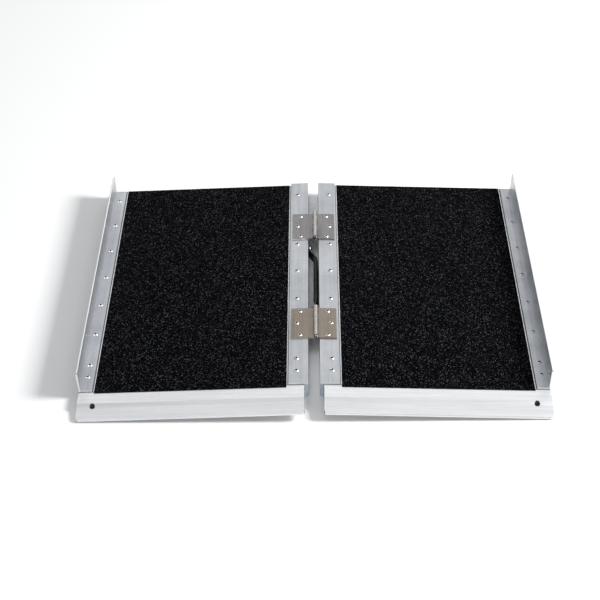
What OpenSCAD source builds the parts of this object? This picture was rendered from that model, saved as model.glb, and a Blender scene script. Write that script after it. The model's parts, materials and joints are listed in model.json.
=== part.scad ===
// Portable wheelchair ramp that folds lengthwise, laid open on the floor.
// +X runs across the ramp, +Y from the top lip to the bottom end, +Z up.
// The origin is on the floor, under the middle of the footprint.
// Each panel is drawn flat in its own coordinates, then tilted into place:
//   s = distance outwards from the fold line, y = distance from the lip's nose,
//   t = height above the top face of the edge rails.

/* [Deck] */
// Number of equal deck planks between the lip and the toe
plank_count = 6; // [4:1:8]
// Length of deck that one plank covers
plank_pitch = 76; // [70:1:90]
// Length of the top lip extrusion, nose to first plank
lip_len = 101.5; // [96:0.5:115]
// Length of the bottom toe extrusion, up to the end of the centre rail
toe_len = 52.5; // [48:0.5:70]
// Thickness of the deck planks' top skin
skin_t = 2.6; // [2:0.1:3]
// Depth of the planks below the rails' flanges, over the deck skin
plank_depth = 12; // [10:0.5:12]
// Thickness of the grit mat
mat_t = 1; // [0.6:0.1:1.5]

/* [Panels] */
// Width of one panel, gap side to outer face
panel_w = 359.4; // [320:0.2:420]
// Clear gap between the two centre rails
gap_w = 19; // [18:0.5:22]
// Slope of each panel away from the fold line, in degrees
crown = 2; // [1.5:0.1:2.2]

/* [Rails] */
// Thickness of the rails' top flanges
flange_t = 3; // [2.5:0.1:3.5]
// Width of the centre rail's flange
centre_flange_w = 31; // [29:0.5:34]
// Thickness of the centre rail's web
web_t = 6; // [5:0.5:6.5]
// Depth of the centre rail
centre_depth = 28; // [27:0.5:32]
// Width of the outer rail's flange
outer_flange_w = 21.2; // [20:0.2:25]
// Thickness of the side guard
guard_t = 2.7; // [2.4:0.1:3]
// Height of the side guard above the flange
guard_h = 36; // [30:1:40]
// Radius of the side guard's upper corners
guard_corner_r = 5.5; // [4:0.5:12]

/* [Hinges] */
// Length of each hinge
hinge_len = 75; // [70:1:80]
// Thickness of a hinge leaf
leaf_t = 2.2; // [1.8:0.1:2.4]
// Radius of the hinge knuckles
knuckle_r = 4.3; // [4.1:0.1:4.4]
// Radius of the hinge pins
pin_r = 2.5; // [2.3:0.1:2.6]
// Offset of the fold axis from the middle of the gap, towards the right panel
axis_x = 3.3; // [3:0.1:3.6]
// Height of the fold axis above the flanges
axis_t = 4.9; // [4.7:0.1:5.2]

/* [Handle] */
// Distance between the handle's two screws
handle_span = 196; // [180:1:200]
// Length of the handle's grip
grip_len = 124; // [110:1:126]
// Thickness of the grip, across the gap
grip_w = 7.4; // [6.6:0.2:7.4]
// Height of the grip
grip_h = 24; // [22:0.5:24]
// Thickness of the handle's band
band_t = 1.6; // [1.2:0.1:2]

/* [Hidden] */
SIDES = ["left", "right"];
PLANK_NOS = [for (i = [1 : plank_count]) i];
$fn = 64;

ramp_len = lip_len + plank_count * plank_pitch + toe_len;
run_clear = 0.05;           // radial clearance of every shank and pin in its hole
joint_gap = 0.3;            // gap between neighbouring planks
through = 40;               // longer than any wall that a hole is cut through
over = 1;                   // how far a cutting shape runs past the face that it cuts

// Panel coordinates
gap_s = gap_w / 2;                          // gap-side face of the centre rail
outer_s = gap_s + panel_w;                  // outer face of the side guard
deck_clear = 0.2;                           // gap between the planks' ends and the rails
deck_in = gap_s + web_t + deck_clear;       // inner end of the planks
deck_out = outer_s - guard_t - deck_clear;  // outer end of the planks
centre_flange_s = gap_s + centre_flange_w;  // deck-side edge of the centre flange
outer_flange_s = outer_s - outer_flange_w;  // deck-side edge of the outer flange
deck_t = -flange_t;                         // top face of the deck
plank_bottom_t = deck_t - plank_depth;

foot_w = 10.5;              // width of the foot at the bottom of the centre web
foot_t = 3;
foot_s = gap_s + web_t + foot_w;
// Both long edges of a tilted panel reach the floor together
outer_depth = centre_depth - (outer_s - foot_s) * tan(crown);
flange_z = centre_depth * cos(crown) + foot_s * sin(crown);

// Where each of these starts and ends along the ramp
centre_rail_y = [58, ramp_len];
outer_rail_y = [56, ramp_len - 6];
mat_y = [52, ramp_len - 3];
mat_margin = 3;             // strip of bare deck between a flange and the mat

// Rivets: one row through each rail, one rivet to an extrusion
rivet_from_joint = 15;      // distance from the near joint of each plank
lip_rivet_inset = 13.5;     // distance back from the lip's joint
rivet_r = 2.4;
rivet_head_r = 4;
rivet_head_h = 1.4;
rivet_dome_r = 7;           // radius of the dome that the head is part of
rivet_bulb_r = 3;
rivet_bulb_h = 2.2;
mandrel_r = 1.3;            // recess where the mandrel broke off
mandrel_depth = 1.1;
drill_depth = flange_t + skin_t + over;
centre_rivet_inset = 18.8;  // from the gap side of the centre rail
outer_rivet_inset = 10.9;   // from the guard's outer face
centre_rivet_s = gap_s + centre_rivet_inset;
outer_rivet_s = outer_s - outer_rivet_inset;
rivet_rows = concat([lip_len - lip_rivet_inset],
    [for (i = [0 : plank_count]) lip_len + i * plank_pitch + rivet_from_joint]);

// Hinges: one near the lip, one near the toe, clear of the handle between them
top_hinge_inset = 201.5;    // from the lip's nose to the middle of the top hinge
bottom_hinge_inset = 139.5; // from the far end to the middle of the bottom hinge
hinge_y = [top_hinge_inset, ramp_len - bottom_hinge_inset];
leaf_edge_s = 37;           // where the leaves end on the flanges
leaf_rivet_y = 30;          // spacing of the end rivets from a leaf's middle
leaf_rivet_s = [22.8, 28];  // end rivets, middle rivet
leaf_short = 1.5;           // a leaf's plate ends this far short of the fold axis
knuckle_count = 5;
knuckle_gap = 0.3;
knuckle_clear = 0.5;        // from a knuckle to the other leaf's plate
pin_end_play = 0.2;         // from the knuckles to the pin's heads
pin_head_r = 3.5;
pin_head_h = 2.2;
pin_head_step = 1;          // the head's last step, narrower by this much and as tall
pin_head_overlap = 0.5;     // how far the stacked cylinders of a head run into each other

// Side guard details
guard_hole_r = 1.5;
guard_hole_y = [70, 70];
guard_hole_t = [12, 22];

// Lip
lip_nose_r = 3;
lip_nose_drop = 6.5;
lip_nose_t = deck_t - lip_nose_drop;        // top of the nose
lip_bottom_t = lip_nose_t - 2 * lip_nose_r;
lip_step_y = [24, 29.5];    // ends of the sloped band in the lip's top
lip_step_drop = 3.9;
lip_groove_y = 22.6;        // a fine groove along the foot of the sloped band
lip_groove_r = 0.5;
lip_solid_y = 38;           // the lip is solid from its nose to here
lip_chamber_y = 60;         // and has a closed chamber from there to here
lip_corner_r = 6.5;
lip_hole_r = 4.25;
lip_hole_y = 25.5;
lip_hole_inset = 24.4;      // from the guard's outer face
lip_hole_s = outer_s - lip_hole_inset;
toe_front = 2.5;            // run of the steep face at the bottom end
toe_solid = 12;             // solid length behind the steep face, under the skin
toe_foot_len = 4;           // the foot runs this much further in

// Handle
handle_shift = 22;          // from the ramp's middle towards the bottom end
handle_y = ramp_len / 2 + handle_shift;
handle_t = -15;             // middle height of the handle
grip_s = -3.1;              // middle of the grip: past the fold line, near the right rail
band_h = 20;
band_end_len = 12;          // flat end of the band beyond a screw
bend_start = 8;             // from a screw to the start of the bend
screw_r = 3;
screw_head_r = 5;
screw_head_h = 3;
screw_short = 0.5;          // a screw ends this far inside the web
washer_r = 6;
washer_t = 1;
band_clear = 0.15;

mill = [0.80, 0.81, 0.83];
bright = [0.88, 0.89, 0.90];
grit = [0.08, 0.08, 0.09];
nickel = [0.60, 0.57, 0.53];
black = [0.06, 0.06, 0.06];

// ---- Placing ----

// Put a piece drawn in panel coordinates into the ramp, on one side
module on_panel(side) {
    translate([0, -ramp_len / 2, flange_z])
        if (side == "left")
            mirror([1, 0, 0]) rotate([0, crown, 0]) children();
        else
            rotate([0, crown, 0]) children();
}

// Put a piece drawn about the fold line, level with the flanges, into the ramp
module on_fold_line() {
    translate([0, -ramp_len / 2, flange_z]) children();
}

// Extrude a profile drawn in s and t along the ramp
module along_ramp(from_y, to_y) {
    translate([0, to_y, 0]) rotate([90, 0, 0]) linear_extrude(to_y - from_y) children();
}

// Extrude a profile drawn in y and t across the panel
module across_panel(from_s, to_s) {
    translate([from_s, 0, 0]) rotate([90, 0, 90]) linear_extrude(to_s - from_s) children();
}

// A rectangle from one corner to the opposite one
module rect(low, high) {
    translate(low) square(high - low);
}

// Round holes through a panel's skin, at each [s, y] place
module skin_holes(places) {
    for (p = places)
        translate([p[0], p[1], -drill_depth]) cylinder(r = rivet_r + run_clear, h = through);
}

// ---- Rivet places ----

function outer_rivet_places() = [for (y = rivet_rows) [outer_rivet_s, y]];

// A centre rivet is left out where a hinge leaf covers its place
function under_hinge(y) =
    len([for (h = hinge_y) if (abs(y - h) < hinge_len / 2 + rivet_head_r) h]) > 0;
function centre_rivet_places() =
    [for (y = rivet_rows) if (!under_hinge(y)) [centre_rivet_s, y]];
function hinge_rivet_places() = [for (h = hinge_y, i = [-1 : 1])
    [i == 0 ? leaf_rivet_s[1] : leaf_rivet_s[0], h + i * leaf_rivet_y]];
function all_places() =
    concat(outer_rivet_places(), centre_rivet_places(), hinge_rivet_places());

// ---- Deck ----

// An extrusion that runs across the panel, drilled for every rivet that it meets
module deck_extrusion(out_s = deck_out) {
    difference() {
        across_panel(deck_in, out_s) children();
        skin_holes(all_places());
    }
}

rib_t = 2.4;
rib_foot_w = 7.2;
rib_foot_t = 2;
// A plank's three ribs, clear of its rivets: near face of the rib, near edge of its foot
ribs = [
    [3.8, 3.8],
    [42.8, 40.4],
    [plank_pitch - joint_gap - rib_t, plank_pitch - joint_gap - rib_foot_w]];
tongue_len = 3;
tongue_t = 2;
tongue_gap = 0.1;           // from the tongue to the next skin above it

module rib(place) {
    rect([place[0], plank_bottom_t], [place[0] + rib_t, deck_t - skin_t / 2]);
    rect([place[1], plank_bottom_t], [place[1] + rib_foot_w, plank_bottom_t + rib_foot_t]);
}

// The tongue on the far rib of an extrusion that ends at y, under the next one's skin
module tongue(y) {
    top = deck_t - skin_t - tongue_gap;
    rect([y - joint_gap - rib_t, top - tongue_t], [y + tongue_len, top]);
}

module plank(side, number) {
    color(mill) on_panel(side) deck_extrusion()
        translate([lip_len + (number - 1) * plank_pitch, 0]) {
            rect([0, deck_t - skin_t], [plank_pitch - joint_gap, deck_t]);
            for (place = ribs) rib(place);
            tongue(plank_pitch);
        }
}

// The top lip: a solid nose that slopes down from the deck, then a ribbed plate
module lip_section() {
    difference() {
        union() {
            polygon([
                [lip_len - joint_gap, deck_t],
                [lip_step_y[1], deck_t],
                [lip_step_y[0], deck_t - lip_step_drop],
                [lip_nose_r, lip_nose_t],
                [lip_nose_r, lip_bottom_t],
                [lip_len - joint_gap, lip_bottom_t]]);
            translate([lip_nose_r, lip_nose_t - lip_nose_r]) circle(lip_nose_r);
        }
        translate([lip_groove_y, lip_nose_t + (deck_t - lip_step_drop - lip_nose_t)
            * (lip_groove_y - lip_nose_r) / (lip_step_y[0] - lip_nose_r)])
            circle(lip_groove_r, $fn = 24);
        rect([lip_solid_y, lip_bottom_t + skin_t], [lip_chamber_y, deck_t - skin_t]);
        rect([lip_chamber_y + skin_t, lip_bottom_t - over],
            [lip_len - joint_gap - rib_t, deck_t - skin_t]);
    }
    tongue(lip_len);
}

// The lip's outline seen from above: flush with the guard's outer face up to the guard,
// narrower beside it, with its two near corners rounded
module lip_outline() {
    r = lip_corner_r;
    rect([deck_in, r], [deck_out, lip_len + tongue_len + over]);
    rect([deck_in, r], [outer_s, outer_rail_y[0] - joint_gap]);
    rect([deck_in + r, 0], [outer_s - r, r + over]);
    for (s = [deck_in + r, outer_s - r]) translate([s, r]) circle(r);
}

module top_lip(side) {
    color(bright) on_panel(side) difference() {
        intersection() {
            deck_extrusion(outer_s) lip_section();
            translate([0, 0, -through / 2]) linear_extrude(through) lip_outline();
        }
        translate([lip_hole_s, lip_hole_y, -through / 2]) cylinder(r = lip_hole_r, h = through);
    }
}

// The bottom end: a last short piece of deck that ends in a steep face
module toe(side) {
    toe_y = ramp_len - toe_len;
    top_y = ramp_len - toe_front;
    color(mill) on_panel(side) deck_extrusion() {
        difference() {
            polygon([
                [toe_y, deck_t], [top_y, deck_t],
                [ramp_len, plank_bottom_t], [toe_y, plank_bottom_t]]);
            rect([toe_y - over, plank_bottom_t - over], [toe_y + ribs[0][0], deck_t - skin_t]);
            rect([toe_y + ribs[0][0] + rib_t, plank_bottom_t + rib_foot_t],
                [top_y - toe_solid, deck_t - skin_t]);
            rect([toe_y + ribs[0][0] + rib_foot_w, plank_bottom_t - over],
                [top_y - toe_solid - toe_foot_len, deck_t - skin_t]);
        }
    }
}

module grit_mat(side) {
    color(grit) on_panel(side)
        translate([centre_flange_s + mat_margin, mat_y[0], deck_t])
            cube([outer_flange_s - centre_flange_s - 2 * mat_margin, mat_y[1] - mat_y[0], mat_t]);
}

// ---- Rails ----

// Side guard and flange in one extrusion, with the guard's ends rounded
module outer_rail(side) {
    r = guard_corner_r;
    color(mill) on_panel(side) difference() {
        intersection() {
            along_ramp(outer_rail_y[0], outer_rail_y[1]) {
                rect([outer_flange_s, -flange_t], [outer_s, 0]);
                rect([outer_s - guard_t, -outer_depth], [outer_s, guard_h - guard_t / 2]);
                translate([outer_s - guard_t / 2, guard_h - guard_t / 2]) circle(guard_t / 2);
            }
            across_panel(outer_flange_s - over, outer_s + over) {
                rect([outer_rail_y[0], -through], [outer_rail_y[1], guard_h - r]);
                rect([outer_rail_y[0] + r, 0], [outer_rail_y[1] - r, guard_h]);
                for (y = [outer_rail_y[0] + r, outer_rail_y[1] - r])
                    translate([y, guard_h - r]) circle(r);
            }
        }
        skin_holes(outer_rivet_places());
        for (i = [0, 1])
            translate([outer_s - guard_t - over, guard_hole_y[i], guard_hole_t[i]])
                rotate([0, 90, 0]) cylinder(r = guard_hole_r, h = guard_t + 2 * over);
    }
}

// Flange, web and foot in one extrusion; the left one is tapped for the handle's screws
module centre_rail(side) {
    color(mill) on_panel(side) difference() {
        along_ramp(centre_rail_y[0], centre_rail_y[1]) {
            rect([gap_s, -flange_t], [centre_flange_s, 0]);
            rect([gap_s, -centre_depth], [gap_s + web_t, 0]);
            rect([gap_s, -centre_depth], [foot_s, -centre_depth + foot_t]);
        }
        skin_holes(concat(centre_rivet_places(), hinge_rivet_places()));
        if (side == "left")
            for (y = screw_y)
                screw_rod(screw_r + run_clear, gap_s - over, gap_s + web_t + over, y);
    }
}

// ---- Rivets ----

// A set blind rivet: hollow domed head, shank through both sheets, bulb underneath
module blind_rivet(grip_t) {
    rotate_extrude() {
        difference() {
            union() {
                rect([0, -grip_t], [rivet_r, rivet_head_h]);
                intersection() {
                    translate([0, rivet_head_h - rivet_dome_r]) circle(rivet_dome_r, $fn = 96);
                    rect([0, 0], [rivet_head_r, rivet_head_h]);
                }
                rect([0, -grip_t - rivet_bulb_h], [rivet_bulb_r, -grip_t]);
            }
            rect([0, rivet_head_h - mandrel_depth], [mandrel_r, rivet_head_h + over]);
        }
    }
}

module rail_rivets(side, places) {
    color(bright) on_panel(side)
        for (p = places) translate([p[0], p[1], 0]) blind_rivet(flange_t + skin_t);
}

module hinge_rivets(side) {
    color(bright) on_panel(side)
        for (p = hinge_rivet_places())
            translate([p[0], p[1], leaf_t]) blind_rivet(leaf_t + flange_t + skin_t);
}

// ---- Hinges ----

knuckle_len = hinge_len / knuckle_count;

// Stretch of a hinge that knuckle i fills, clear of its neighbours
function knuckle_span(y, i) = [
    y - hinge_len / 2 + i * knuckle_len + (i == 0 ? 0 : knuckle_gap / 2),
    y - hinge_len / 2 + (i + 1) * knuckle_len - (i == knuckle_count - 1 ? 0 : knuckle_gap / 2)];

// A cylinder along the fold axis
module axis_rod(r, from_y, to_y) {
    on_fold_line() translate([axis_x, to_y, axis_t]) rotate([90, 0, 0])
        cylinder(r = r, h = to_y - from_y);
}

// One leaf: a plate with three rivet holes, and its own share of the knuckles.
// The left leaf has knuckles 0, 2 and 4, the right leaf 1 and 3.
module hinge_leaf(side, y) {
    first = side == "left" ? 0 : 1;
    axis_s = side == "left" ? -axis_x : axis_x;
    reach_s = axis_s + leaf_short;
    clear_s = axis_s + knuckle_r + knuckle_clear;
    color(nickel) difference() {
        union() {
            on_panel(side) difference() {
                translate([reach_s, y - hinge_len / 2, 0])
                    cube([leaf_edge_s - reach_s, hinge_len, leaf_t]);
                for (i = [1 - first : 2 : knuckle_count - 1]) {
                    other = knuckle_span(y, i);
                    translate([reach_s - over, other[0] - knuckle_gap, -over])
                        cube([clear_s - reach_s + over, other[1] - other[0] + 2 * knuckle_gap,
                            leaf_t + 2 * over]);
                }
                skin_holes(hinge_rivet_places());
            }
            for (i = [first : 2 : knuckle_count - 1])
                axis_rod(knuckle_r, knuckle_span(y, i)[0], knuckle_span(y, i)[1]);
        }
        axis_rod(pin_r + run_clear, y - hinge_len, y + hinge_len);
    }
}

// The pin has a domed head at each end, upset after assembly
module hinge_pin(y) {
    near = y - hinge_len / 2 - pin_end_play;
    far = y + hinge_len / 2 + pin_end_play;
    wide_h = pin_head_h - pin_head_step;
    color(bright) {
        axis_rod(pin_r, near - pin_head_overlap, far + pin_head_overlap);
        axis_rod(pin_head_r, near - wide_h, near);
        axis_rod(pin_head_r, far, far + wide_h);
        axis_rod(pin_head_r - pin_head_step, near - pin_head_h, near - pin_head_overlap);
        axis_rod(pin_head_r - pin_head_step, far + pin_head_overlap, far + pin_head_h);
    }
}

// ---- Handle ----

// The handle is drawn in the left panel's coordinates, where its band lies flat on the rail
screw_y = [handle_y - handle_span / 2, handle_y + handle_span / 2];
band_end_s = gap_s - band_t / 2;
band_half = handle_span / 2 + band_end_len;
bend_len = (handle_span - grip_len) / 2 - bend_start;

// Smooth step from 0 to 1
function ease(u) = let (v = min(1, max(0, u))) v * v * (3 - 2 * v);

// Middle line of the band: flat on the rail at its ends, then out to the grip
function band_s(y) =
    let (past_bend_start = handle_span / 2 - bend_start - abs(y - handle_y))
    band_end_s + (grip_s - band_end_s) * ease(past_bend_start / bend_len);
band_steps = 44;
band_ys = [for (i = [0 : band_steps]) handle_y - band_half + 2 * band_half * i / band_steps];

// Outline of the band seen from above, w thick
module band_outline(w) {
    polygon(concat(
        [for (y = band_ys) [band_s(y) - w / 2, y]],
        [for (i = [band_steps : -1 : 0]) [band_s(band_ys[i]) + w / 2, band_ys[i]]]));
}

// A cylinder across the gap, from one distance s to another, at a screw
module screw_rod(r, from_s, to_s, y) {
    translate([from_s, y, handle_t]) rotate([0, 90, 0]) cylinder(r = r, h = to_s - from_s);
}

module handle_band() {
    color(nickel) on_panel("left") difference() {
        translate([0, 0, handle_t - band_h / 2]) linear_extrude(band_h) band_outline(band_t);
        for (y = screw_y) screw_rod(screw_r + run_clear, 0, gap_w, y);
    }
}

// A moulded sleeve round the straight middle of the band
module handle_grip() {
    r = grip_w / 2;
    ends = [handle_y - grip_len / 2 + r, handle_y + grip_len / 2 - r];
    color(black) on_panel("left") difference() {
        translate([grip_s, 0, handle_t - grip_h / 2]) linear_extrude(grip_h) {
            rect([-r, ends[0]], [r, ends[1]]);
            for (y = ends) translate([0, y]) circle(r);
        }
        translate([0, 0, handle_t - band_h / 2 - band_clear])
            linear_extrude(band_h + 2 * band_clear) band_outline(band_t + 2 * band_clear);
    }
}

// Button-head screws with washers, threaded into the left centre rail
module handle_screws() {
    seat_s = gap_s - band_t;
    color(bright) on_panel("left") for (y = screw_y) {
        screw_rod(screw_r, seat_s - washer_t - screw_head_h / 2, gap_s + web_t - screw_short, y);
        screw_rod(washer_r, seat_s - washer_t, seat_s, y);
        screw_rod(screw_head_r, seat_s - washer_t - screw_head_h, seat_s - washer_t, y);
    }
}

// ---- Assembly ----

for (side = SIDES) {
    outer_rail(side);
    centre_rail(side);
    top_lip(side);
    for (i = PLANK_NOS)
        plank(side, i);
    toe(side);
    grit_mat(side);
    rail_rivets(side, outer_rivet_places());
    rail_rivets(side, centre_rivet_places());
    hinge_rivets(side);
}
hinge_leaf("left", hinge_y[0]);  // top_hinge_left_leaf
hinge_leaf("right", hinge_y[0]);  // top_hinge_right_leaf
hinge_pin(hinge_y[0]);  // top_hinge_pin
hinge_leaf("left", hinge_y[1]);  // bottom_hinge_left_leaf
hinge_leaf("right", hinge_y[1]);  // bottom_hinge_right_leaf
hinge_pin(hinge_y[1]);  // bottom_hinge_pin
handle_band();
handle_grip();
handle_screws();
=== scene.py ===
import json
import math
import random

import bmesh
import bpy
from mathutils import Matrix, Vector


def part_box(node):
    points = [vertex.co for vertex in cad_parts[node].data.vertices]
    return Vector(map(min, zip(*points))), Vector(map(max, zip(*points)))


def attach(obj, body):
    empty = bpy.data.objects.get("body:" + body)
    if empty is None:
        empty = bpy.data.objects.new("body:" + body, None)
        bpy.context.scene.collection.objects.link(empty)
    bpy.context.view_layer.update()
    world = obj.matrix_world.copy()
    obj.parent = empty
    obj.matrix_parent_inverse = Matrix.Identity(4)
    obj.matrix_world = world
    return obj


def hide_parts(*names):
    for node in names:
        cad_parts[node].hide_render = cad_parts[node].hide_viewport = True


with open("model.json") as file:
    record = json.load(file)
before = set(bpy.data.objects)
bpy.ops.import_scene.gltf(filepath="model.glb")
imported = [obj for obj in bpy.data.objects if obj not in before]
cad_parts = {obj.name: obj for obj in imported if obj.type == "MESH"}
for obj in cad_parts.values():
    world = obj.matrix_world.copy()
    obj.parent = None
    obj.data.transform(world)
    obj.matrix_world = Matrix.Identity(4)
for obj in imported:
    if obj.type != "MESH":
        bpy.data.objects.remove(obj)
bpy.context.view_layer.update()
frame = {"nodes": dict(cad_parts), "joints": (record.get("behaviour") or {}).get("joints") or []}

MM = 0.001
SIDES = ("left", "right")
BODY = {"left": "left_panel", "right": "right_panel"}

# ---------------------------------------------------------------- driving dimensions

CROWN = math.radians(2)                 # slope of each panel away from the fold
FOLD_AXIS = Vector(frame["joints"][0]["pos_m"])
AXIS_ABOVE_FLANGE = 4.9 * MM
FLANGE_Z = FOLD_AXIS.z - AXIS_ABOVE_FLANGE
KNUCKLE_R = 4.3 * MM
RAIL_EDGE = 0.35 * MM                   # rounding of the extrusions' sharp edges
SHEET_EDGE = 0.25 * MM                  # and of the sheet steel's
WELD = 2e-6                             # vertices of a CAD mesh closer than this become one
FLAT = math.radians(0.3)                # faces that turn less than this become one
SHARP = math.radians(35)                # edges that turn more than this count as sharp


def panel_matrix(side):
    """From panel coordinates to the row frame."""
    tilt = Matrix.Rotation(CROWN, 4, "Y")
    mirror = Matrix.Scale(-1, 4, (1, 0, 0)) if side == "left" else Matrix.Identity(4)
    return Matrix.Translation((0, 0, FLANGE_Z)) @ mirror @ tilt


def span(points):
    """Lowest and highest corners of some points."""
    return (Vector([min(p[i] for p in points) for i in range(3)]),
            Vector([max(p[i] for p in points) for i in range(3)]))


def panel_box(node, side):
    """Lowest and highest corners of a CAD node in its panel's coordinates."""
    back = panel_matrix(side).inverted()
    return span([back @ v.co for v in frame["nodes"][node].data.vertices])


def solids(node, side):
    """The same for each separate solid of a CAD node."""
    back = panel_matrix(side).inverted()
    bm = bmesh.new()
    bm.from_mesh(frame["nodes"][node].data)
    bmesh.ops.remove_doubles(bm, verts=bm.verts, dist=WELD)
    seen, boxes = set(), []
    for start in bm.verts:
        if start in seen:
            continue
        island, stack = [], [start]
        seen.add(start)
        while stack:
            vert = stack.pop()
            island.append(back @ vert.co)
            for edge in vert.link_edges:
                other = edge.other_vert(vert)
                if other not in seen:
                    seen.add(other)
                    stack.append(other)
        boxes.append(span(island))
    bm.free()
    return sorted(boxes, key=lambda box: (round(box[0].y, 4), box[0].x))


# ---------------------------------------------------------------- mesh helpers

def new_object(name, bm, materials, smooth=True):
    """A scene object from a bmesh, shaded smooth except across sharp edges."""
    mesh = bpy.data.meshes.new(name)
    bm.to_mesh(mesh)
    bm.free()
    for item in materials:
        mesh.materials.append(item)
    obj = bpy.data.objects.new(name, mesh)
    bpy.context.scene.collection.objects.link(obj)
    if smooth:
        for polygon in mesh.polygons:
            polygon.use_smooth = True
        mesh.set_sharp_from_angle(angle=SHARP)
    return obj


def hang(obj, body, slot, *replaced):
    """Put a finished piece on its body, in place of the CAD nodes that it stands for."""
    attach(obj, body)
    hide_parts(*replaced)


def dressed_copy(node, side, edge, materials, paint, split_t=None):
    """A CAD node's own shape with whole flat faces and rounded edges.
    paint(middle, normal) picks a face's material, and materials[1] goes on the rounded edges,
    except where paint picks materials[2]. Faces are split at the height split_t."""
    place = panel_matrix(side)
    back, turn_back = place.inverted(), place.inverted().to_3x3()
    bm = bmesh.new()
    bm.from_mesh(frame["nodes"][node].data)
    bmesh.ops.remove_doubles(bm, verts=bm.verts, dist=WELD)
    bmesh.ops.dissolve_limit(bm, angle_limit=FLAT, verts=bm.verts, edges=bm.edges,
                             use_dissolve_boundaries=False)
    if split_t is not None:
        bmesh.ops.bisect_plane(bm, geom=bm.verts[:] + bm.edges[:] + bm.faces[:], dist=WELD,
                               plane_co=place @ Vector((0, 0, split_t)),
                               plane_no=place.to_3x3() @ Vector((0, 0, 1)))
    bm.normal_update()

    def painted(face):
        return paint(back @ face.calc_center_median(), turn_back @ face.normal)

    for face in bm.faces:
        face.material_index = painted(face)
    # The rounded edges take materials[1]: on most pieces a brighter colour for wear with a painted
    # highlight
    sharp = [e for e in bm.edges if len(e.link_faces) == 2 and e.calc_face_angle() > SHARP]
    bmesh.ops.bevel(bm, geom=sharp, offset=edge, offset_type="OFFSET", segments=2, profile=0.5,
                    affect="EDGES", clamp_overlap=True, material=1)
    bm.normal_update()
    for face in bm.faces:
        if face.material_index == 1 and painted(face) == 2:
            face.material_index = 2
    obj = new_object(node + "_dressed", bm, materials)
    flat = obj.modifiers.new("flat_faces", "WEIGHTED_NORMAL")
    flat.mode = "FACE_AREA"
    flat.weight = 100
    flat.keep_sharp = True
    return obj


TURNED_SIDES = 24


def lathe(bm, profile, matrix, marks=(), hexagon=()):
    """Turn a profile of (radius, height) in millimetres about its Z axis, from axis to axis.
    Steps of the profile named in marks get material 1. Rings named in hexagon are six-sided."""
    rings = []
    for k, (radius, height) in enumerate(profile):
        if radius == 0:
            rings.append([bm.verts.new(matrix @ Vector((0, 0, height * MM)))] * TURNED_SIDES)
            continue
        ring = []
        for i in range(TURNED_SIDES):
            angle = math.tau * i / TURNED_SIDES
            from_flat = (angle + math.pi / 6) % (math.pi / 3) - math.pi / 6
            reach = radius * MM / (math.cos(from_flat) if k in hexagon else 1)
            point = (reach * math.cos(angle), reach * math.sin(angle), height * MM)
            ring.append(bm.verts.new(matrix @ Vector(point)))
        rings.append(ring)
    for k, (low, high) in enumerate(zip(rings, rings[1:])):
        for i in range(TURNED_SIDES):
            j = (i + 1) % TURNED_SIDES
            corners = list(dict.fromkeys((low[i], low[j], high[j], high[i])))
            face = bm.faces.new(corners)
            face.material_index = 1 if k in marks else 0


# ---------------------------------------------------------------- material helpers

def new_material(name):
    """A new node material and its Principled shader."""
    mat = bpy.data.materials.new(name)
    mat.use_nodes = True
    return mat, mat.node_tree, mat.node_tree.nodes["Principled BSDF"]


def object_coords(tree, scale=(1, 1, 1)):
    """A point's own coordinates on the piece, in metres, times a scale for each axis."""
    coords = tree.nodes.new("ShaderNodeTexCoord")
    mapping = tree.nodes.new("ShaderNodeMapping")
    mapping.inputs["Scale"].default_value = scale
    tree.links.new(coords.outputs["Object"], mapping.inputs["Vector"])
    return mapping.outputs["Vector"]


def noise(tree, vector, scale, detail=4, rough=0.55):
    node = tree.nodes.new("ShaderNodeTexNoise")
    node.inputs["Scale"].default_value = scale
    node.inputs["Detail"].default_value = detail
    node.inputs["Roughness"].default_value = rough
    tree.links.new(vector, node.inputs["Vector"])
    return node.outputs["Fac"]


def grain_noise(tree, grain, scale, detail, rough=0.55):
    """Noise drawn out along the grain's axis. The scale is a pair, along the grain and across."""
    along, across = scale
    stretch = tuple(along if axis == grain else across for axis in "XYZ")
    return noise(tree, object_coords(tree, stretch), 1, detail, rough)


def ramp(tree, value, stops):
    """A colour ramp. Stops are (position, grey or colour)."""
    node = tree.nodes.new("ShaderNodeValToRGB")
    elements = node.color_ramp.elements
    while len(elements) < len(stops):
        elements.new(0.5)
    for element, (position, shade) in zip(elements, stops):
        colour = (shade, shade, shade) if isinstance(shade, (int, float)) else shade
        element.position = position
        element.color = (*colour, 1)
    tree.links.new(value, node.inputs["Fac"])
    return node.outputs["Color"]


def set_or_link(tree, socket, value):
    """Give a socket another socket's value, a colour or a number."""
    if isinstance(value, bpy.types.NodeSocket):
        tree.links.new(value, socket)
    elif isinstance(value, tuple):
        socket.default_value = (*value, 1)
    else:
        socket.default_value = value


def mix(tree, a, b, fac, blend="MIX"):
    """Colour a mixed with b. Each argument is a socket, a colour or a number."""
    node = tree.nodes.new("ShaderNodeMix")
    node.data_type = "RGBA"
    node.blend_type = blend
    # A Mix node has a set of sockets for each data type: 0 is the factor, 6 and 7 the colours
    for index, value in ((0, fac), (6, a), (7, b)):
        set_or_link(tree, node.inputs[index], value)
    return node.outputs[2]


def math_node(tree, operation, a, b=0.0):
    node = tree.nodes.new("ShaderNodeMath")
    node.operation = operation
    set_or_link(tree, node.inputs[0], a)
    set_or_link(tree, node.inputs[1], b)
    return node.outputs[0]


def bump(tree, height, strength, distance):
    node = tree.nodes.new("ShaderNodeBump")
    node.inputs["Strength"].default_value = strength
    node.inputs["Distance"].default_value = distance
    tree.links.new(height, node.inputs["Height"])
    return node.outputs["Normal"]


LINE_CORE = 0.45        # share of a line's half width that has its full strength


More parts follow.
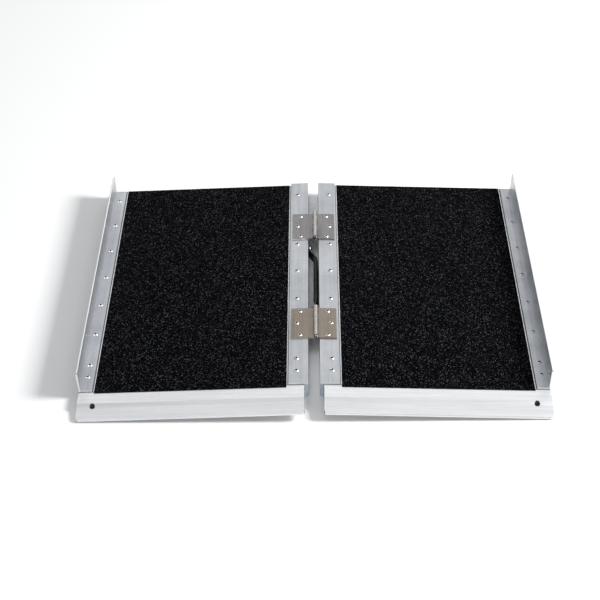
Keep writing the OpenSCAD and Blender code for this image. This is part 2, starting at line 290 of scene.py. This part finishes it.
def line_mask(tree, value, centre, half_width):
    """1 on a line at that value, fading to 0 at its edges."""
    off = math_node(tree, "ABSOLUTE", math_node(tree, "SUBTRACT", value, centre))
    node = tree.nodes.new("ShaderNodeMapRange")
    node.interpolation_type = "SMOOTHSTEP"
    node.inputs["From Min"].default_value = half_width
    node.inputs["From Max"].default_value = half_width * LINE_CORE
    tree.links.new(off, node.inputs["Value"])
    return node.outputs["Result"]


# Painted shade, standing in for the contact shadow, lies beside the flanges of the outer and the
# centre rails, and just in front of their near ends: x from the ramp's middle, y of the end, and
# which half of a panel the rail is on.
CONTACT_SHADE_LINES = ((0.3468, -0.249, "GREATER_THAN"), (0.0410, -0.247, "LESS_THAN"))
PANEL_MIDDLE = 0.2
BESIDE_HALF_WIDTH = 1.2 * MM
AHEAD, AHEAD_HALF_WIDTH = 0.7 * MM, 1.1 * MM


def painted_contact_shade(tree):
    """1 in the corners where the rails' flanges sit on the deck: the mask of the painted shade
    that stands in for their contact shadow.
    """
    split = tree.nodes.new("ShaderNodeSeparateXYZ")
    tree.links.new(object_coords(tree), split.inputs[0])
    across, along = math_node(tree, "ABSOLUTE", split.outputs["X"]), split.outputs["Y"]
    total = 0.0
    for beside_x, end_y, half in CONTACT_SHADE_LINES:
        beside = line_mask(tree, across, beside_x, BESIDE_HALF_WIDTH)
        past_end = math_node(tree, "GREATER_THAN", along, end_y)
        ahead = line_mask(tree, along, end_y - AHEAD, AHEAD_HALF_WIDTH)
        on_half = math_node(tree, half, across, PANEL_MIDDLE)
        for line, reach in ((beside, past_end), (ahead, on_half)):
            total = math_node(tree, "MAXIMUM", total, math_node(tree, "MULTIPLY", line, reach))
    return total


# ---------------------------------------------------------------- materials

# Scales of the metals' patterns, along the grain and across it. Scratches run across the grain.
STREAK_SCALE = (9, 2100)
BAND_SCALE = (2, 230)
SCRATCH_SCALE = (1500, 120)
CLOUD_SCALE = 17
STREAK_DEPTH = 0.2 * MM
# Colour and strength of the painted shade beside the flanges, standing in for their contact shadow
CONTACT_SHADE_COLOUR, CONTACT_SHADE_COVER = (0.035, 0.035, 0.038), 0.9


def metal(name, dark, light, grain, roughness, spread=0.07, streak_bump=0.12, cloud=0.3,
          painted_shade=False, metallic=1.0, scratch=0.35):
    """Drawn or rolled metal: fine streaks along its grain, wide bands, smudges and scratches.
    An oxidised mill finish scatters some light, so it is less than fully metallic."""
    mat, tree, shader = new_material(name)
    streaks = grain_noise(tree, grain, STREAK_SCALE, 3)
    bands = grain_noise(tree, grain, BAND_SCALE, 2)
    clouds = noise(tree, object_coords(tree), CLOUD_SCALE, 5, 0.62)
    scratches = grain_noise(tree, grain, SCRATCH_SCALE, 2, 0.5)
    tone = mix(tree, mix(tree, streaks, bands, 0.5), clouds, cloud)
    colour = ramp(tree, tone, [(0.34, dark), (0.66, light)])
    marks = ramp(tree, scratches, [(0.70, 0.0), (0.78, scratch)])
    colour = mix(tree, colour, tuple(min(1.0, 1.12 * c) for c in light), marks)
    # Painted shade beside the flanges, standing in for their contact shadow
    if painted_shade:
        colour = mix(tree, colour, CONTACT_SHADE_COLOUR,
                     math_node(tree, "MULTIPLY", painted_contact_shade(tree), CONTACT_SHADE_COVER))
    tree.links.new(colour, shader.inputs["Base Color"])
    shader.inputs["Metallic"].default_value = metallic
    rough = ramp(tree, mix(tree, streaks, clouds, 0.5),
                 [(0.32, roughness + spread), (0.68, roughness - spread)])
    tree.links.new(rough, shader.inputs["Roughness"])
    tree.links.new(bump(tree, streaks, streak_bump, STREAK_DEPTH), shader.inputs["Normal"])
    return mat


GRAINS_PER_METRE = 900
GRIT_DEPTH = 0.5 * MM
RUBBER_DEPTH = 0.2 * MM


def grit_material():
    """Black mineral grit: rough dark grains, with pale and glassy ones scattered among them."""
    mat, tree, shader = new_material("grit")
    vector = object_coords(tree)
    grains = tree.nodes.new("ShaderNodeTexVoronoi")
    grains.inputs["Scale"].default_value = GRAINS_PER_METRE
    tree.links.new(vector, grains.inputs["Vector"])
    pick = tree.nodes.new("ShaderNodeSeparateColor")
    tree.links.new(grains.outputs["Color"], pick.inputs["Color"])
    grey = ramp(tree, pick.outputs["Red"],
                [(0.0, (0.0002, 0.0002, 0.0004)), (0.45, (0.0004, 0.0004, 0.0008)),
                 (0.75, (0.0034, 0.0036, 0.0055)), (0.92, (0.017, 0.018, 0.024)),
                 (1.0, (0.15, 0.15, 0.165))])
    clumps = noise(tree, vector, 240, 3, 0.6)
    colour = mix(tree, grey, ramp(tree, clumps, [(0.35, 0.35), (0.7, 1.0)]), 1.0, "MULTIPLY")
    tree.links.new(colour, shader.inputs["Base Color"])
    rough = ramp(tree, pick.outputs["Green"], [(0.0, 0.85), (0.9, 0.7), (1.0, 0.3)])
    tree.links.new(rough, shader.inputs["Roughness"])
    shader.inputs["Specular IOR Level"].default_value = 0.02
    height = mix(tree, grains.outputs["Distance"], clumps, 0.4)
    tree.links.new(bump(tree, height, 0.8, GRIT_DEPTH), shader.inputs["Normal"])
    return mat


def rubber_material():
    """Black moulded rubber with a faint grain and worn, slightly shinier spots."""
    mat, tree, shader = new_material("grip_rubber")
    vector = object_coords(tree)
    wear = noise(tree, vector, 60, 4, 0.5)
    colour = ramp(tree, wear, [(0.3, (0.003, 0.003, 0.0035)), (0.75, (0.010, 0.010, 0.011))])
    tree.links.new(colour, shader.inputs["Base Color"])
    tree.links.new(ramp(tree, wear, [(0.3, 0.6), (0.75, 0.4)]), shader.inputs["Roughness"])
    shader.inputs["Specular IOR Level"].default_value = 0.3
    pores = noise(tree, vector, 2400, 3)
    tree.links.new(bump(tree, pores, 0.25, RUBBER_DEPTH), shader.inputs["Normal"])
    return mat


def floor_material():
    """White studio paper, very slightly uneven."""
    mat, tree, shader = new_material("studio_floor")
    tone = noise(tree, object_coords(tree), 0.8, 2, 0.4)
    colour = ramp(tree, tone, [(0.2, (0.915, 0.915, 0.918)), (0.8, (0.925, 0.925, 0.925))])
    tree.links.new(colour, shader.inputs["Base Color"])
    shader.inputs["Roughness"].default_value = 0.9
    shader.inputs["Specular IOR Level"].default_value = 0.05
    return mat


RAIL = metal("rail_aluminium", (0.44, 0.455, 0.48), (0.655, 0.67, 0.695), "Y", 0.42,
             cloud=0.42, metallic=0.97)
# Rounded edges and the guard's top: wear, with a painted highlight for the bright lines along them
RAIL_WEAR_AND_HIGHLIGHT = metal("rail_edge_wear_and_painted_highlight", (0.85, 0.86, 0.87), (0.95, 0.95, 0.96), "Y", 0.32,
                  metallic=0.75)
# Cut ends of the flanges and guards: a bright saw-cut finish with a painted highlight from the
# front light
RAIL_CUT_AND_HIGHLIGHT = metal("rail_cut_end_painted_highlight", (0.88, 0.89, 0.90), (0.96, 0.965, 0.97), "X", 0.45, metallic=0.3)
# Cut ends of the webs: a bluish painted shade, the tone they show in shade
WEB_CUT_SHADE = metal("web_cut_end_painted_shade", (0.52, 0.60, 0.71), (0.70, 0.78, 0.89), "X", 0.45, metallic=0.6)
# The deck and the lips carry the painted shade beside the flanges
DECK = metal("deck_aluminium", (0.78, 0.79, 0.80), (0.92, 0.925, 0.93), "X", 0.38, painted_shade=True,
             metallic=0.6)
LIP = metal("lip_aluminium", (0.72, 0.73, 0.75), (0.89, 0.895, 0.905), "X", 0.42, cloud=0.12,
            painted_shade=True, metallic=0.72)
# The lips' rounded edges: wear, with a painted highlight along them
LIP_WEAR_AND_HIGHLIGHT = metal("lip_edge_wear_and_painted_highlight", (0.86, 0.87, 0.88), (0.96, 0.96, 0.96), "X", 0.3,
                 metallic=0.6)
# Painted shade in the lip's hole and on its end at the gap
LIP_PAINTED_SHADE = metal("lip_hole_and_gap_end_painted_shade", (0.09, 0.09, 0.095), (0.19, 0.19, 0.20), "Z", 0.6, metallic=0.5)
RIVET = metal("rivet_aluminium", (0.62, 0.63, 0.64), (0.80, 0.81, 0.82), "Z", 0.38, 0.03, 0.03)
# Painted shade in the rivets' mandrel recess
RIVET_RECESS_SHADE = metal("rivet_recess_painted_shade", (0.006, 0.006, 0.006), (0.02, 0.02, 0.02), "Z", 0.6,
                   metallic=0.3)
LEAF = metal("hinge_steel", (0.25, 0.21, 0.172), (0.35, 0.30, 0.25), "Y", 0.40, 0.06, 0.08,
             metallic=0.95)
LEAF_COOL = metal("hinge_steel_cool", (0.245, 0.232, 0.233), (0.34, 0.328, 0.334), "Y", 0.40, 0.06,
                  0.08, metallic=0.95)
# The leaves' rounded edges: wear, with a painted highlight along them
LEAF_WEAR_AND_HIGHLIGHT = metal("hinge_edge_wear_and_painted_highlight", (0.60, 0.56, 0.51), (0.78, 0.74, 0.69), "Y", 0.28)
BARREL = metal("hinge_barrel", (0.55, 0.52, 0.49), (0.61, 0.575, 0.54), "Y", 0.2, 0.0, 0.0,
               scratch=0.0)
PIN = metal("pin_steel", (0.24, 0.24, 0.25), (0.40, 0.40, 0.41), "Y", 0.26, 0.05, 0.05)
BAND = metal("band_steel", (0.05, 0.05, 0.055), (0.13, 0.13, 0.14), "Y", 0.42)
# The band's rounded edges: wear, with a painted highlight along them
BAND_WEAR_AND_HIGHLIGHT = metal("band_edge_wear_and_painted_highlight", (0.2, 0.2, 0.21), (0.34, 0.34, 0.35), "Y", 0.35)
SCREW = metal("screw_steel", (0.36, 0.36, 0.37), (0.56, 0.56, 0.57), "X", 0.30)
GRIT = grit_material()
RUBBER = rubber_material()

# ---------------------------------------------------------------- extrusions and sheet steel

END_ON = 0.9                    # a face counts as facing along an axis from this cosine
LYING_FLAT = 0.995              # as lying flat from this one
STEEP = 0.5                     # and as steep below this one
KNUCKLE_REACH = 1.05 * KNUCKLE_R
LIP_LOW, LIP_HIGH = panel_box("left_top_lip", "left")
FLANGE_T = -LIP_HIGH.z          # the flanges lie on the deck
GUARD_H = panel_box("left_outer_rail", "left")[1].z
# The middle of the lip's hole, from the lip's outer edge and its nose
LIP_HOLE = Vector((LIP_HIGH.x - 24.4 * MM, LIP_LOW.y + 25.5 * MM))
LIP_HOLE_R = 4.5 * MM           # just over the hole's own radius


def rail_paint(middle, normal):
    """The web's cut ends get a bluish painted shade, the flange's and the guard's a bright cut
    finish with a painted highlight, and the guard's top edge, where hands wear it, a painted
    highlight too."""
    if abs(normal.y) > END_ON:
        return 3 if middle.z < -FLANGE_T else 2
    return 1 if middle.z > GUARD_H - MM else 0


def lip_paint(middle, normal):
    """The hole's wall and the end at the gap get painted shade."""
    from_hole = math.hypot(middle.x - LIP_HOLE.x, middle.y - LIP_HOLE.y)
    in_hole = from_hole < LIP_HOLE_R and abs(normal.z) < STEEP
    return 2 if in_hole or normal.x < -END_ON else 0


def plain_paint(middle, normal):
    """The same material on every face."""
    return 0


def leaf_paint(middle, normal):
    """The knuckles are smoother than the plate."""
    above_flange = middle.z > AXIS_ABOVE_FLANGE - KNUCKLE_REACH
    beside_axis = abs(middle.x) < FOLD_AXIS.x + KNUCKLE_REACH
    return 2 if above_flange and beside_axis and abs(normal.z) < LYING_FLAT else 0


HINGES = ("top_hinge", "bottom_hinge")
DECK_PIECES = [f"plank_{i}" for i in range(1, 7)] + ["toe"]


def build_extrusions():
    """The rails, the deck, the lips, the hinge leaves and the handle's band."""
    for side in SIDES:
        for rail in ("outer_rail", "centre_rail"):
            node = f"{side}_{rail}"
            hang(dressed_copy(node, side, RAIL_EDGE, [RAIL, RAIL_WEAR_AND_HIGHLIGHT, RAIL_CUT_AND_HIGHLIGHT, WEB_CUT_SHADE],
                              rail_paint, -FLANGE_T), BODY[side], "mill_aluminium", node)
        for piece in DECK_PIECES:
            node = f"{side}_{piece}"
            hang(dressed_copy(node, side, RAIL_EDGE, [DECK, DECK], plain_paint),
                 BODY[side], "mill_aluminium", node)
        node = f"{side}_top_lip"
        hang(dressed_copy(node, side, RAIL_EDGE, [LIP, LIP_WEAR_AND_HIGHLIGHT, LIP_PAINTED_SHADE], lip_paint),
             BODY[side], "lip_aluminium", node)
        for hinge in HINGES:
            node = f"{hinge}_{side}_leaf"
            plate = LEAF if hinge == "top_hinge" else LEAF_COOL
            hang(dressed_copy(node, side, SHEET_EDGE, [plate, LEAF_WEAR_AND_HIGHLIGHT, BARREL], leaf_paint),
                 BODY[side], "hinge_steel", node)
    hang(dressed_copy("handle_band", "left", SHEET_EDGE, [BAND, BAND_WEAR_AND_HIGHLIGHT], plain_paint),
         BODY["left"], "band_steel", "handle_band")


# ---------------------------------------------------------------- grit mats

MAT_CELL = 2.5 * MM
GRIT_LOW, GRIT_HIGH = -0.12 * MM, 0.25 * MM     # how far the grains stand below and above
MAT_EDGE_WAVE = 0.15 * MM


def build_mat(side, seed):
    """A grit sheet: an uneven top of fine cells, and cut edges that waver slightly."""
    low, high = panel_box(f"{side}_grit_mat", side)
    place = panel_matrix(side)
    rng = random.Random(seed)
    columns = round((high.x - low.x) / MAT_CELL)
    rows = round((high.y - low.y) / MAT_CELL)
    bm = bmesh.new()

    def corner(i, j):
        on_edge = i in (0, columns) or j in (0, rows)
        s = low.x + (high.x - low.x) * i / columns
        y = low.y + (high.y - low.y) * j / rows
        t = high.z + rng.uniform(GRIT_LOW, 0 if on_edge else GRIT_HIGH)
        if i in (0, columns):
            s += rng.uniform(-1, 1) * MAT_EDGE_WAVE
        if j in (0, rows):
            y += rng.uniform(-1, 1) * MAT_EDGE_WAVE
        return Vector((s, y, t))

    points = [[corner(i, j) for j in range(rows + 1)] for i in range(columns + 1)]
    grid = [[bm.verts.new(place @ p) for p in column] for column in points]
    for i in range(columns):
        for j in range(rows):
            bm.faces.new((grid[i][j], grid[i + 1][j], grid[i + 1][j + 1], grid[i][j + 1]))
    border = ([(i, 0) for i in range(columns)] + [(columns, j) for j in range(rows)]
              + [(i, rows) for i in range(columns, 0, -1)] + [(0, j) for j in range(rows, 0, -1)])
    foot = [bm.verts.new(place @ Vector((*points[i][j].xy, low.z))) for i, j in border]
    for k, (i, j) in enumerate(border):
        after = (k + 1) % len(border)
        next_i, next_j = border[after]
        bm.faces.new((grid[i][j], grid[next_i][next_j], foot[after], foot[k]))
    bm.faces.new(foot)
    bmesh.ops.recalc_face_normals(bm, faces=bm.faces)
    hang(new_object(f"{side}_grit_sheet", bm, [GRIT]), BODY[side], "grit", f"{side}_grit_mat")


# ---------------------------------------------------------------- fasteners

HEAD_HEIGHT = 1.4 * MM          # of a rivet's head, which its solid's top includes
# A set blind rivet from the broken mandrel, over the domed head, down the shank to the bulb
RIVET_TOP = [(0, -1.25), (0.45, -1.15), (0.72, -1.4), (0.85, -1.9), (1.72, -1.9), (1.76, 1.0),
             (1.86, 1.26), (2.06, 1.38), (2.3, 1.34), (2.7, 1.15), (3.15, 0.84), (3.55, 0.50),
             (3.88, 0.22), (4.0, 0.06), (3.96, 0.0), (2.4, 0.0)]
# Steps of the mandrel's recess, which get the rivets' painted shade
RECESS_STEPS = range(5)
RIVET_LEAN = 0.7                # degrees, at most


def build_rivets(side, row, seed):
    """Every blind rivet of one row, each turned and tilted a little differently."""
    node = f"{side}_{row}"
    rng = random.Random(seed)
    bm = bmesh.new()
    for low, high in solids(node, side):
        seat = Vector(((low.x + high.x) / 2, (low.y + high.y) / 2, high.z - HEAD_HEIGHT))
        grip = (seat.z - low.z) / MM
        profile = RIVET_TOP + [(2.4, 2.2 - grip), (3.0, 1.8 - grip), (3.0, 0.5 - grip),
                               (2.5, -grip), (1.0, -grip), (0.8, -0.2 - grip), (0, -0.2 - grip)]
        turn = Matrix.Rotation(rng.uniform(0, math.tau), 4, "Z")
        about_s, about_y = (math.radians(rng.uniform(-RIVET_LEAN, RIVET_LEAN)) for _ in "sy")
        lean = Matrix.Rotation(about_s, 4, "X") @ Matrix.Rotation(about_y, 4, "Y")
        place = panel_matrix(side) @ Matrix.Translation(seat) @ lean @ turn
        lathe(bm, profile, place, marks=RECESS_STEPS)
    bmesh.ops.recalc_face_normals(bm, faces=bm.faces)
    hang(new_object(f"{node}_set", bm, [RIVET, RIVET_RECESS_SHADE]), BODY[side], "rivet_aluminium", node)


def build_hinge_pin(hinge):
    """A pin with a domed head upset at each end."""
    node = f"{hinge}_pin"
    low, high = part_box(node)
    centre = (low + high) / 2
    half = (high.y - low.y) / 2 / MM
    head = [(0, 0), (0.9, -0.04), (1.8, -0.2), (2.6, -0.5), (3.2, -0.95), (3.5, -1.5),
            (3.5, -2.1), (3.35, -2.2), (2.5, -2.2)]
    profile = [(r, half + z) for r, z in head] + [(r, -half - z) for r, z in reversed(head)]
    bm = bmesh.new()
    along = Matrix.Rotation(math.radians(90), 4, "X")
    lathe(bm, profile, Matrix.Translation(centre) @ along)
    bmesh.ops.recalc_face_normals(bm, faces=bm.faces)
    hang(new_object(f"{node}_domed", bm, [PIN]), BODY["left"], "pin_steel", node)


def build_screws():
    """Button heads with hexagon sockets, on their washers, across the gap."""
    bm = bmesh.new()
    for low, high in solids("handle_screws", "left"):
        centre = Vector((low.x, (low.y + high.y) / 2, (low.z + high.z) / 2))
        length = (high.x - low.x) / MM
        profile = [(0, -1.6), (1.6, -1.6), (1.6, -0.05), (2.1, 0.0), (2.9, -0.2), (3.8, -0.75),
                   (4.6, -1.6), (5.0, -2.5), (5.0, -2.9), (4.9, -3.0), (5.9, -3.0), (6.0, -3.1),
                   (6.0, -3.9), (5.9, -4.0), (3.0, -4.0), (3.0, -length), (0, -length)]
        across = Matrix.Rotation(math.radians(-90), 4, "Y")
        lathe(bm, profile, panel_matrix("left") @ Matrix.Translation(centre) @ across,
              hexagon=(1, 2))
    bmesh.ops.recalc_face_normals(bm, faces=bm.faces)
    hang(new_object("handle_screw_set", bm, [SCREW]), BODY["left"], "screw_steel",
         "handle_screws")


# ---------------------------------------------------------------- handle grip

GRIP_SIDES = 36
GRIP_SQUARENESS = 2.8       # 2 is an ellipse
RIB_PITCH = 5 * MM
RIB_DEPTH = 0.45 * MM
RIBBED_SHARE = 0.78         # of the grip's length
GROOVE_POWER = 8            # a higher one makes the grooves narrower
GRIP_TIP = 1.1 * MM         # half the width that is left at the ends
GRIP_END_DROP = 2 * MM      # how far the ends' top lies below the middle's
GRIP_RINGS = 150


def build_grip():
    """A moulded sleeve: a squarish section with rounded ends and fine ribs."""
    low, high = panel_box("handle_grip", "left")
    place = panel_matrix("left")
    centre, half = (low + high) / 2, (high - low) / 2
    bm = bmesh.new()
    rings = []
    for k in range(GRIP_RINGS + 1):
        u = 2 * k / GRIP_RINGS - 1
        y = u * half.y
        from_end = half.y - abs(y)
        cap = min(1.0, from_end / half.x)
        rounding = math.sqrt(1 - (1 - cap) ** 2)
        ribbed = abs(u) < RIBBED_SHARE
        groove = math.cos(math.pi * y / RIB_PITCH) ** GROOVE_POWER if ribbed else 0.0
        wide = max(GRIP_TIP, half.x * rounding - groove * RIB_DEPTH)
        tall = half.z - (1 - rounding) * GRIP_END_DROP - groove * RIB_DEPTH
        ring = []
        for i in range(GRIP_SIDES):
            angle = math.tau * i / GRIP_SIDES
            c, s = math.cos(angle), math.sin(angle)
            power = 2 / GRIP_SQUARENESS
            point = Vector((wide * math.copysign(abs(c) ** power, c), y,
                            tall * math.copysign(abs(s) ** power, s)))
            ring.append(bm.verts.new(place @ (centre + point)))
        rings.append(ring)
    for one, other in zip(rings, rings[1:]):
        for i in range(GRIP_SIDES):
            j = (i + 1) % GRIP_SIDES
            bm.faces.new((one[i], one[j], other[j], other[i]))
    bm.faces.new(rings[0])
    bm.faces.new(rings[-1])
    bmesh.ops.recalc_face_normals(bm, faces=bm.faces)
    hang(new_object("handle_ribbed_grip", bm, [RUBBER]), BODY["left"], "grip_rubber",
         "handle_grip")


# ---------------------------------------------------------------- stage, light and camera

FLOOR_REACH = 6
# Softboxes: location, size and power in watts
SOFTBOXES = {"key": ((3.4, -0.3, 2.45), (1.1, 1.1), 215),
             "overhead": ((-0.1, 0.0, 2.4), (1.3, 2.9), 8),
             "back_panel": ((0.15, 2.2, 1.8), (3.4, 1.5), 12),
             "front_fill": ((-0.5, -2.6, 1.5), (2.0, 1.2), 9)}
SURROUND, SURROUND_STRENGTH = (0.97, 0.985, 1.0, 1), 0.36
CAMERA_AT = (0.0017, -1.8729, 1.504)
HEADING, LOOK_DOWN, ROLL = 0.77, 38.86, -0.89       # in degrees
LENS, SENSOR = 84.5, 36                             # in millimetres
FAR_CLIP = 50


def build_stage():
    bm = bmesh.new()
    bmesh.ops.create_grid(bm, x_segments=2, y_segments=2, size=FLOOR_REACH)
    new_object("studio_floor", bm, [floor_material()], smooth=False)


def area_light(name, location, size, power):
    """A rectangular softbox that faces the ramp."""
    light = bpy.data.lights.new(name, "AREA")
    light.shape = "RECTANGLE"
    light.size, light.size_y = size
    light.energy = power
    obj = bpy.data.objects.new(name, light)
    obj.location = location
    obj.rotation_euler = (-Vector(location)).to_track_quat("-Z", "Y").to_euler()
    bpy.context.scene.collection.objects.link(obj)


def build_light():
    for name, settings in SOFTBOXES.items():
        area_light(name, *settings)
    world = bpy.data.worlds.new("studio")
    world.use_nodes = True
    surround = world.node_tree.nodes["Background"]
    surround.inputs["Color"].default_value = SURROUND
    surround.inputs["Strength"].default_value = SURROUND_STRENGTH
    bpy.context.scene.world = world


def build_camera():
    """Standing at the lip end, looking down along the ramp."""
    camera = bpy.data.cameras.new("camera")
    camera.sensor_width = SENSOR
    camera.lens = LENS
    camera.clip_end = FAR_CLIP
    obj = bpy.data.objects.new("camera", camera)
    bpy.context.scene.collection.objects.link(obj)
    heading = Matrix.Rotation(math.radians(HEADING), 4, "Z")
    pitch = Matrix.Rotation(math.radians(90 - LOOK_DOWN), 4, "X")
    roll = Matrix.Rotation(math.radians(ROLL), 4, "Z")
    obj.matrix_world = Matrix.Translation(CAMERA_AT) @ heading @ pitch @ roll
    bpy.context.scene.camera = obj


build_extrusions()
for number, side in enumerate(SIDES):
    build_mat(side, seed=11 + number)
    for k, row in enumerate(("outer_rivets", "centre_rivets", "hinge_rivets")):
        build_rivets(side, row, seed=21 + 3 * number + k)
for hinge in HINGES:
    build_hinge_pin(hinge)
build_screws()
build_grip()
build_stage()
build_light()
build_camera()
bpy.context.scene.view_settings.view_transform = "Standard"
